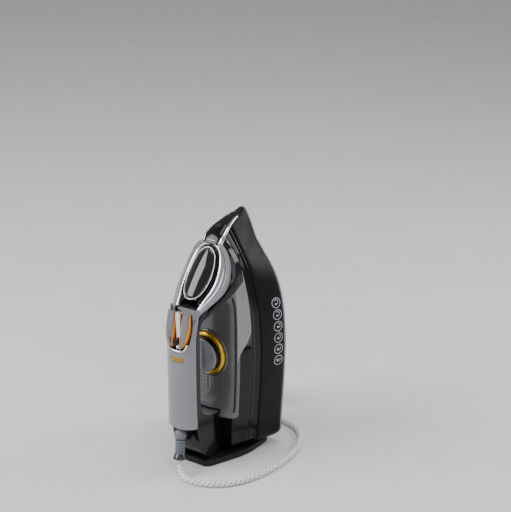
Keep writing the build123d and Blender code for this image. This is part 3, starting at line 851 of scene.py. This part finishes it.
def chromeBezel():
    outer = openOval([(max(x - 0.15, 0), y - 0.1) for x, y in loopInner[:-1]])
    inner = openOval(bandOutline)
    inner = [inner[round(k * (len(inner) - 1) / (len(outer) - 1))] for k in range(len(outer))]
    rows = between(outer, inner, ((0.0, -6.5), (0.0, -1.9), (0.05, -1.3), (0.3, -1.0), (0.6, -1.2), (0.88, -2.0),
                                  (1.0, -2.8), (1.0, -6.5)))
    weld(makeObject("chrome bezel band", solid(rows), "chrome", "body", ["chrome_bezel"], "chrome_trim"))
    # black floor under the gap between band and door, open over the funnel
    line = openOval([(x + 0.6, y) for x, y in bandOutline])
    rows = [[slopePoint(x * r, y * r - 3 * (1 - r), z) for x, y in line]
            for r, z in ((1.0, -4.6), (0.88, -4.8), (0.74, -5.0), (0.6, -5.4), (0.52, -6.4))]
    floor = weld(makeObject("bezel floor", grid(rows), "satinBlack", "body"))
    modify(floor, "SOLIDIFY", thickness=1.2 * mm, offset=-1)
    ribs = []
    for k in range(15):
        for side in (1, -1):
            x, y = side * (18.9 + 1.2 * sin(pi * k / 14)), -2 - 1.9 * k
            ribs.append(solid([[slopePoint(x + a, y + b, z) for a, b in ((-1.1, -0.55), (1.1, -0.55), (1.1, 0.55),
                                                                         (-1.1, 0.55))] for z in (-4.6, -2.3)]))
    smoothEdges(makeObject("bezel grip ribs", gather(ribs), "heelBlack", "body"), 0.25, 2)


def domeRows(points, edgeZ, rise, rings=10):
    line = closedOval(points)
    rows = []
    for k in range(rings + 1):
        r = 1 - k / rings * 0.985
        z = edgeZ + rise * (1 - r**2.2)
        rows.append([slopePoint(x * r, -1 + (y + 1) * r, z) for x, y in line])
    return rows


def fillerDoor():
    skin = grid(domeRows(doorOutline, -1.4, 2.6), True, False, True)
    made = weld(makeObject("filler door", skin, "smokyDoor", "filler_door", ["filler_door"], "smoky_door"))
    modify(made, "SOLIDIFY", thickness=1.4 * mm, offset=-1)
    line = closedOval(doorOutline)
    rows = [[slopePoint(x * (1 + out / 17), y + (y + 1) * out / 34, z) for x, y in line] for out, z in
            ((0.1, -3.6), (0.1, -1.5), (0.25, -0.95), (0.65, -0.7), (1.05, -0.95), (1.2, -1.5), (1.2, -3.6))]
    weld(makeObject("filler door rim", grid(rows + rows[:1], True), "chrome", "filler_door"))
    # what shows through the door: a carrier plate, a brown label field, a plain round mark, a bright latch
    skin = grid(domeRows([(x * 0.9, y * 0.93) for x, y in doorOutline], -3.4, 1.2, 6), True, False, True)
    plate = weld(makeObject("door carrier plate", skin, "satinBlack", "filler_door"))
    modify(plate, "SOLIDIFY", thickness=0.5 * mm, offset=-1)
    for name, corners, mat, z in (
            ("door label field", [(-8, 12), (8, 12), (8.6, 22), (-6.5, 23)], "brownField", -1.95),
            ("door latch", [(-12.5, -22), (-9.5, -23), (-8.8, -20), (-12, -19)], "chrome", -1.9)):
        skin = solid([[slopePoint(x, y, z + lift) for x, y in corners] for lift in (0.0, 0.45)])
        smoothEdges(makeObject(name, skin, mat, "filler_door"), 0.6, 2)
    rows = [[slopePoint(x, y, z) for x, y, z in row]
            for row in turned([(4.0, -2.2), (4.0, -1.75), (4.7, -1.75), (4.7, -2.2), (4.0, -2.2)], 36, (-3, -7))]
    weld(makeObject("door round mark", grid(rows, True), "print", "filler_door"))


# buttons: thin grey caps over orange bases, a chromed rail between them, and the steam slider
buttons = {"inner": 4.9, "rise": 9.0, "railTop": 135.9}


def lobeOutline(side, inset=0.0):
    # one button seen from above, (x, s), rounded at its rear
    line = catmull([(16.6, 210), (17.0, 199), (16.4, 187), (14.0, 175.5), (9.6, 168.6),
                    (buttons["inner"] + 1.2, 167.2)], 5)
    points = [(x - inset, s + inset * 0.5) for x, s in line]
    points += [(buttons["inner"] + inset, s) for s in (168.0 + inset, 189, 209.4)]
    return [(side * x, s) for x, s in points]


def lobeTop(s):
    # the caps rise away from the slope towards the rear
    return 133.2 + buttons["rise"] * smooth((212 - s) / 46) ** 0.8


def lobe(side, low, lift, inset, dome):
    # Rounded block over a button's outline, its top following the caps.
    line = lobeOutline(side, inset)
    cx, cs = (sum(p[k] for p in line) / len(line) for k in (0, 1))
    rows = [[(x, s, low) for x, s in line]]
    for shrink, drop in ((1.0, 1.3), (0.985, 0.7), (0.95, 0.28), (0.88, 0.06), (0.7, 0.0), (0.45, -dome * 0.6),
                         (0.2, -dome)):
        rows.append([(cx + (x - cx) * shrink, cs + (s - cs) * shrink,
                      lobeTop(cs + (s - cs) * shrink) + lift - drop) for x, s in line])
    return solid(rows)


def buttonPair():
    for side, word in ((-1, "spray"), (1, "steam")):
        name, body = word + " button ", word + "_button"
        weld(makeObject(name + "base", lobe(side, 131.6, -0.9, -0.3, 0.0), "orange", body, [body + "_base"],
                        "button_orange"))
        weld(makeObject(name + "cap", lobe(side, 133.6, 0.3, 1.25, 0.35), "buttonGrey", body, [body], "handle_grey"))
    # plain marks pressed in the right cap: a dot and two chevrons
    shapes = [[(10.5 + 0.9 * cos(a), 183 + 0.9 * sin(a)) for a in (2 * pi * k / 14 for k in range(14))]]
    for s in (190, 193.6):
        shapes.append([(7.6, s), (8.4, s - 0.7), (10.7, s + 1.5), (13.0, s - 0.7), (13.8, s), (10.7, s + 2.9)])
    marks = [solid([[(x, s, lobeTop(s) - 0.3 + lift) for x, s in shape] for lift in (0.0, 0.28)]) for shape in shapes]
    weld(makeObject("button marks", gather(marks), "heelBlack", "steam_button"))


def slideRail():
    h = buttons["railTop"] - 0.35  # level, because the slider travels straight along it
    rows = []
    for s in (163.6, 164.4, 172, 182, 192, 202, 209, 210.4):
        edge = 0.5 if s in (163.6, 210.4) else 0.0
        rows.append([(-3.7, s, 129.6), (-3.7, s, h - 0.8 - edge), (-3.1, s, h - edge), (-1.3, s, h + 0.35 - edge),
                     (1.3, s, h + 0.35 - edge), (3.1, s, h - edge), (3.7, s, h - 0.8 - edge), (3.7, s, 129.6)])
    made = weld(makeObject("slider rail", solid(rows), "chrome", "body", ["slider_rail"], "chrome_trim"))
    smoothEdges(made, 0.3, 2, 50)


def buttonSurround():
    # chromed lip that runs round the rear of the group
    path = catmull([(-15.4, 172.5), (-11.8, 165.6), (-6.0, 162.4), (0, 161.6), (6.0, 162.4), (11.8, 165.6),
                    (15.4, 172.5)], 5)
    rows = [[(x + nx * a, s + ns * a, h) for a, h in
             ((-1.3, 132.0), (-1.3, 138.5), (-0.9, 139.3), (0.3, 139.9), (1.1, 139.5), (1.3, 138.4), (1.3, 132.0))]
            for (x, s), (nx, ns) in zip(path, normals(path))]
    weld(makeObject("button surround", solid(rows), "chrome", "body"))


def steamSlider():
    base = buttons["railTop"] + 2.6
    rows = [[(x, s, base + up) for x, s in stadium(0, 173.5, long * 0.9, wide)] for up, wide, long in
            ((-2.5, 3.9, 4.6), (1.0, 4.2, 4.9), (2.0, 4.0, 4.7), (2.5, 3.6, 4.2), (2.6, 2.0, 2.6))]
    weld(makeObject("steam slider knob", solid(rows), "glossBlack", "steam_slider", ["steam_slider"], "heel_black"))
    ribs = [prism([(-2.4, s - 0.35), (2.4, s - 0.35), (2.4, s + 0.35), (-2.4, s + 0.35)], base + 2.6, base + 3.1)
            for s in (171.2, 173.5, 175.8)]
    smoothEdges(makeObject("slider grip ribs", gather(ribs), "heelBlack", "steam_slider"), 0.15, 2)


def indicatorLens():
    line = stadium(0, lens["at"], lens["long"], lens["wide"])
    rows = [[(x * shrink, lens["at"] + (s - lens["at"]) * shrink, h) for x, s in line] for shrink, h in
            ((1.0, 136.4), (1.0, 139.4), (0.97, 140.0), (0.85, 140.3), (0.5, 140.5), (0.1, 140.5))]
    rows = [[(x, s, h - 7.2 * (abs(x) / 19.2)**2.2) for x, s, h in row] for row in rows]  # crowned like the cover
    weld(makeObject("indicator lens", solid(rows), "amber", "body", ["indicator_lens"], "amber_lens"))


# temperature dial; each profile is (radius, height)
dial = {"centre": (0, 138), "teeth": 40, "around": 96,
        "bezel": [(25.0, 73.0), (31.0, 73.0), (31.5, 74.5), (31.4, 77.6), (30.8, 78.8), (29.4, 79.3), (28.6, 78.9),
                  (28.3, 77.6), (28.3, 75.6), (25.0, 75.2)],
        "ring": [(23.0, 76.2), (28.0, 76.2), (28.2, 77.4), (27.9, 79.6), (27.0, 81.4), (25.2, 82.3), (23.4, 82.4),
                 (22.8, 82.0), (22.8, 77.0)],
        "top": [(22.4, 89.0), (22.0, 89.9), (20.9, 90.5), (16.0, 91.2), (9.0, 91.8), (2.0, 92.1), (0.2, 92.1),
                (0.2, 89.0)]}


def dialParts():
    x, s = dial["centre"]
    for name, part, mat, body, replaced, slot in (
            ("dial bezel", "bezel", "rimGrey", "body", "dial_bezel", "dial_rim"),
            ("dial yellow ring", "ring", "dialYellow", "dial", "dial_ring", "dial_yellow")):
        skin = solid(turned(dial[part], dial["around"], dial["centre"]))
        weld(makeObject(name, skin, mat, body, [replaced], slot))
    # tall black side with fine flutes
    rows = []
    turns = [2 * pi * k / (dial["teeth"] * 4) for k in range(dial["teeth"] * 4)]
    for h, r, flute in ((77.0, 22.4, 0.0), (78.6, 22.8, 0.5), (84.0, 22.9, 0.6), (88.4, 22.6, 0.5),
                        (89.6, 22.0, 0.2)):
        edges = [r - flute * (0.5 + 0.5 * cos(a * dial["teeth"])) for a in turns]
        rows.append([(x + edge * cos(a), s + edge * sin(a), h) for a, edge in zip(turns, edges)])
    weld(makeObject("dial knob side", solid(rows), "glossBlack", "dial", ["dial_knob"], "gloss_black"))
    skin = solid(turned(dial["top"], dial["around"], dial["centre"]))
    weld(makeObject("dial knob top", skin, "gripGrey", "dial", ["dial_cap"], "grip_grey"))
    # grip ridge across the top, and its pointer stripe
    rows = []
    for k in range(21):
        y = -20 + 2 * k
        tall, wide = 5.6 * (1 - (y / 20.6)**4), 3.3 - 0.9 * (y / 20)**2
        rows.append([(x + wide * a, s + y, h) for a, h in
                     ((-1, 90.4), (-0.96, 90.8 + tall * 0.6), (-0.55, 91.0 + tall), (0.55, 91.0 + tall),
                      (0.96, 90.8 + tall * 0.6), (1, 90.4))])
    weld(makeObject("dial grip ridge", solid(rows), "gripGrey", "dial"))
    stripe = prism([(-0.5, s + 8), (0.5, s + 8), (0.5, s + 17), (-0.5, s + 17)], 96.3, 96.7)
    makeObject("dial pointer", stripe, "print", "dial", flat=True)


# heel plate, (x, h) up its right side
heel = {"line": [(40, 8), (44.5, 12), (45.6, 28), (45.8, 46), (42.5, 64), (37.8, 77), (31.5, 94), (26, 107),
                 (20, 112.8)], "ribs": 11, "ribStep": 6.8}


def heelPlate():
    line = catmull(heel["line"], 4)
    line += [(-x, h) for x, h in line[::-1]]
    rows = [[(x * shrink, s, 55 + (h - 55) * shrink) for x, h in line]
            for s, shrink in ((8.0, 1.0), (1.6, 1.0), (0.5, 0.985), (0.05, 0.96))]
    made = weld(makeObject("heel plate", solid(rows), "heelBlack", "body", ["heel_cover"], "heel_black"))
    smoothEdges(made, 0.7, 2, 50)
    ribs = []
    for k in range(heel["ribs"]):
        h = 20 + heel["ribStep"] * k
        half = 37 - 0.24 * max(h - 55, 0)
        ribs.append(prism([(-half, 0.02), (half, 0.02), (half, 0.7), (-half, 0.7)], h - 0.9, h + 0.9))
    smoothEdges(makeObject("heel ribs", gather(ribs), "heelBlack", "body"), 0.3, 2)


print("body pieces defined")


# cord: braided mains lead, 2 m, laid round the right side and coiled on the floor behind the sole
cord = {"wide": 7.5, "length": 2.0, "coil": (-68.0, 139.0), "outer": 55.8, "pitch": 7.5, "low": 4.0, "high": 11.7,
        "from": -43.5, "turns": 5.486, "perTurn": 18}
cordRoute = [(0.0062, -0.0734, 0.0200), (0.0086, -0.0776, 0.0096), (0.0170, -0.0830, 0.0044),
             (0.0350, -0.0860, 0.0040), (0.0620, -0.0760, 0.0040), (0.0840, -0.0500, 0.0040),
             (0.0940, -0.0120, 0.0040), (0.0960, 0.0300, 0.0040), (0.0880, 0.0720, 0.0040),
             (0.0640, 0.1060, 0.0040), (0.0260, 0.1160, 0.0040), (-0.0060, 0.1080, 0.0040),
             (-0.0280, 0.1010, 0.0040)]
plug = {"tail": (-54.5, 179.3, 20.5), "axis": (0.707, -0.707, 0.29), "side": (0.707, 0.707, 0.0), "pins": 9.5}


def coilPoints():
    # the lower layer winds inwards, the upper layer outwards on top of it
    half = cord["turns"] / 2
    inner = cord["outer"] - cord["pitch"] * half
    steps = round(cord["turns"] * cord["perTurn"])
    points = []
    for k in range(1, steps + 1):
        t = cord["turns"] * k / steps
        angle = radians(cord["from"]) - 2 * pi * t
        r = cord["outer"] - cord["pitch"] * t if t < half else inner + cord["pitch"] * (t - half)
        z = cord["low"] + (cord["high"] - cord["low"]) * smooth((t - half + 0.14) / 0.28)
        points.append(((cord["coil"][0] + r * cos(angle)) * mm, (cord["coil"][1] + r * sin(angle)) * mm, z * mm))
    return points


def cordPath():
    # one smooth curve through the laid part, the coil and the plug's neck
    axis = Vector(plug["axis"]).normalized()
    tail = Vector(plug["tail"])
    points = cordRoute + coilPoints()
    for turn, r, z in ((17.5, 54.3, 14.6), (35.0, 52.0, 18.2), (52.5, 47.6, 19.9)):  # up and over the coil
        angle = radians(cord["from"] - 360 * cord["turns"] - turn)
        points.append(((cord["coil"][0] + r * cos(angle)) * mm, (cord["coil"][1] + r * sin(angle)) * mm, z * mm))
    points += [tuple((tail + axis * along) * mm) for along in (-6.0, 0.0, 9.0)]
    data = bpy.data.curves.new("cord route", "CURVE")
    data.dimensions = "3D"
    data.resolution_u = 6
    spline = data.splines.new("NURBS")
    spline.points.add(len(points) - 1)
    for spot, point in zip(spline.points, points):
        spot.co = (*point, 1.0)
    spline.order_u = 3
    spline.use_endpoint_u = True
    made = bpy.data.objects.new("cord route", data)
    bpy.context.collection.objects.link(made)
    bpy.context.view_layer.update()
    mesh = bpy.data.meshes.new_from_object(made)
    path = [v.co.copy() for v in mesh.vertices]
    bpy.data.objects.remove(made)
    bpy.data.curves.remove(data)
    bpy.data.meshes.remove(mesh)
    return path


def tube(name, path, radius, mat, body, sides=20):
    # round skin along a path; its braid coordinates are millimetres along and turns around
    verts, along = [], [0.0]
    for a, b in zip(path, path[1:]):
        along.append(along[-1] + (b - a).length * 1000)
    side = None
    for k, spot in enumerate(path):
        ahead = (path[min(k + 1, len(path) - 1)] - path[max(k - 1, 0)]).normalized()
        if side is None:
            side = ahead.cross(Vector((0, 1, 0)))
        side = (side - ahead * side.dot(ahead)).normalized()
        up = ahead.cross(side)
        verts += [tuple(spot + (side * cos(2 * pi * j / sides) + up * sin(2 * pi * j / sides)) * radius)
                  for j in range(sides)]
    rows = [verts[k:k + sides] for k in range(0, len(verts), sides)]
    made = makeObject(name, solid(rows), mat, body, ["power_cord", "cord_coil"], "braid_white", raw=True)
    layer = made.data.uv_layers.new(name="braid")
    for f, poly in enumerate(made.data.polygons):
        if f >= (len(path) - 1) * sides:
            continue
        r, j = divmod(f, sides)
        for loop, (u, v) in zip(poly.loop_indices, ((r, j), (r, j + 1), (r + 1, j + 1), (r + 1, j))):
            layer.data[loop].uv = (along[u], v / sides)
    return made, along[-1]


def turnedAlong(profile, origin, axis, parts=48, wave=0, deep=0.0):
    # Turned skin about any line, in the row frame, from (radius, distance along) pairs.
    line = Vector(axis).normalized()
    side = line.cross(Vector((0, 0, 1))).normalized()
    up = side.cross(line)
    rows = []
    for r, t in profile:
        row = []
        for a in (2 * pi * k / parts for k in range(parts)):
            edge = r - deep * (0.5 - 0.5 * cos(wave * a)) if r > 3 else r
            row.append(tuple((Vector(origin) + line * t + side * (edge * cos(a)) + up * (edge * sin(a))) * mm))
        rows.append(row)
    return solid(rows)


def bootAndBall():
    ball = Vector((0.0, -63.0, 48.0))
    mouth = Vector(cordRoute[0]) * 1000
    long = (mouth - ball).length
    profile = [(5.0, 7.4), (6.3, 7.6)]
    for k in range(4):
        start = 9.8 + 3.3 * k
        profile += [(6.4, start), (6.2, start + 0.3), (5.3, start + 0.6), (5.3, start + 1.3), (6.2, start + 1.6)]
    profile += [(6.3, long - 7.6)]
    skin = turnedAlong(profile, ball, mouth - ball)
    boot = weld(makeObject("cord boot", skin, "boot", "cord_swivel", ["cord_boot"], "boot_rubber", raw=True))
    profile = [(5.6, long - 8.2), (6.5, long - 7.6), (7.0, long - 5.8), (8.0, long - 3.2), (8.4, long - 2.0),
               (8.4, long - 0.7), (7.9, long - 0.1), (6.2, long), (4.6, long - 0.3), (4.2, long - 2.4)]
    skin = turnedAlong(profile, ball, mouth - ball)
    flare = weld(makeObject("cord boot mouth", skin, "bootMouth", "cord_swivel", raw=True))
    return [boot, flare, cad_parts["cord_ball"]]


def plugAndPins():
    profile = [(3.9, 0.05), (4.8, 0.4)]
    for k in range(6):
        start = 1.6 + 3.6 * k
        thick = 4.95 + 0.22 * k
        profile += [(thick, start), (thick - 0.1, start + 0.2), (thick - 1.0, start + 0.5),
                    (thick - 1.0, start + 1.4), (thick - 0.1, start + 1.7), (thick + 0.05, start + 2.0)]
    profile += [(6.5, 24.2), (7.6, 26.6), (10.0, 30.2), (13.0, 34.0), (15.9, 38.6), (17.4, 42.0), (17.9, 44.6),
                (17.95, 50), (17.9, 56.4), (17.4, 57.5), (16.4, 57.95), (0.3, 57.95)]
    skin = turnedAlong(profile, plug["tail"], plug["axis"], 72, 18, 0.25)
    made = [makeObject("mains plug", skin, "plug", "cord_swivel", ["plug_body"], "plug_rubber", raw=True)]
    starts = [Vector(plug["tail"]) + Vector(plug["side"]) * (plug["pins"] * way) for way in (-1, 1)]
    for name, profile, mat, *rest in (
            ("plug pins", [(2.2, 57.5), (2.2, 74.4), (2.0, 75.8), (1.3, 76.7), (0.2, 76.95)], "pins", ["plug_pins"],
             "pin_nickel"),
            ("plug pin sleeves", [(2.39, 57.5), (2.39, 67.0), (2.25, 67.3)], "plug")):
        skin = gather(turnedAlong(profile, start, plug["axis"], 24) for start in starts)
        made.append(makeObject(name, skin, mat, "cord_swivel", *rest, raw=True))
    return [weld(part) for part in made]


def layCord():
    path = cordPath()
    made, long = tube("mains cord", path, cord["wide"] / 2 * mm, "braid", "cord_swivel")
    print("cord length", round(long), "mm")
    extras = bootAndBall() + plugAndPins()


# finishes of the pieces inside, kept as the maker's own shapes
insideFinish = {
    "steam_chamber": "cast", "heating_element": "steel", "chamber_gasket": "seal", "chamber_cover": "cast",
    "thermostat": "steel", "thermal_fuse": "steel", "filler_funnel": "satinBlack", "filler_seal": "seal",
    "indicator_lamp": "amber", "filler_pin": "steel", "steam_pump": "nylon", "spray_pump": "nylon",
    "steam_spring": "steel", "spray_spring": "steel", "steam_plunger": "nylon", "spray_plunger": "nylon",
    "thermostat_spindle": "steel", "terminal_block": "nylon", "wiring": "seal", "cord_clamp": "nylon",
    "screws": "steel", "cord_socket": "satinBlack", "cord_ball": "ballGrey"}


def finishInside():
    for name, finish in insideFinish.items():
        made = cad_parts[name]
        if not made.material_slots:
            made.data.materials.append(None)
        for holder in made.material_slots:
            holder.link = "OBJECT"
            holder.material = mats[finish]


# floor and studio light
studio = {"floor": 4.0, "floorColour": "#dcdcdc", "sky": "#eef0f4", "skyStrength": 0.42}
lamps = [("key softbox", (-1.1, -1.3, 1.5), 1.3, 40.0), ("fill softbox", (1.6, -1.1, 0.9), 1.1, 8.0),
         ("rim strip", (0.9, 1.1, 0.9), 0.7, 9.0), ("top softbox", (0.0, 0.1, 1.9), 1.1, 16.0)]


def makeStudio():
    half, count = studio["floor"], 24
    steps = [-half + 2 * half * k / count for k in range(count + 1)]
    verts, faces = grid([[(x, y, 0.0) for x in steps] for y in steps])
    mesh = bpy.data.meshes.new("studio floor")
    mesh.from_pydata(verts, [], faces)
    floor = bpy.data.objects.new("studio floor", mesh)
    bpy.context.collection.objects.link(floor)
    paper, tree, skin, spot = shader("matt paper backdrop", {"Roughness": 0.85})
    cloud = node(tree, "ShaderNodeTexNoise", {"Scale": 1 / 60, "Detail": 3, "Roughness": 0.5}, Vector=spot)
    tone = node(tree, "ShaderNodeValToRGB", {"stops": [(0.3, studio["floorColour"]), (0.7, "#e0e0e0")]},
                Fac=cloud.outputs["Fac"])
    tree.links.new(tone.outputs["Color"], skin.inputs["Base Color"])
    mesh.materials.append(paper)
    for name, spot, wide, power in lamps:
        data = bpy.data.lights.new(name, "AREA")
        data.size = wide
        data.energy = power
        lamp = bpy.data.objects.new(name, data)
        bpy.context.collection.objects.link(lamp)
        lamp.location = spot
        lamp.rotation_euler = (Vector(spot) - Vector((0, 0, 0.15))).to_track_quat("Z", "Y").to_euler()
    world = bpy.data.worlds.new("studio")
    world.use_nodes = True
    world.node_tree.nodes["Background"].inputs[0].default_value = linear(studio["sky"])
    world.node_tree.nodes["Background"].inputs[1].default_value = studio["skyStrength"]
    bpy.context.scene.world = world


layCord()
print("cord, boot and plug done")
soleplate()
steamHoles()
skirt()
skirtPrint()
groove()
print("sole and skirt done")
tankAndRear()
sidePanels()
deckPanel()
deckDetails()
noseSpine()
sprayNozzle()
print("tank, panels, deck and nose done")
handleFront()
handleCore()
handleCover()
fillerLoop()
chromeBezel()
fillerDoor()
print("handle and filler done")
buttonPair()
slideRail()
buttonSurround()
steamSlider()
indicatorLens()
dialParts()
heelPlate()
print("controls and heel done")
finishInside()
makeStudio()
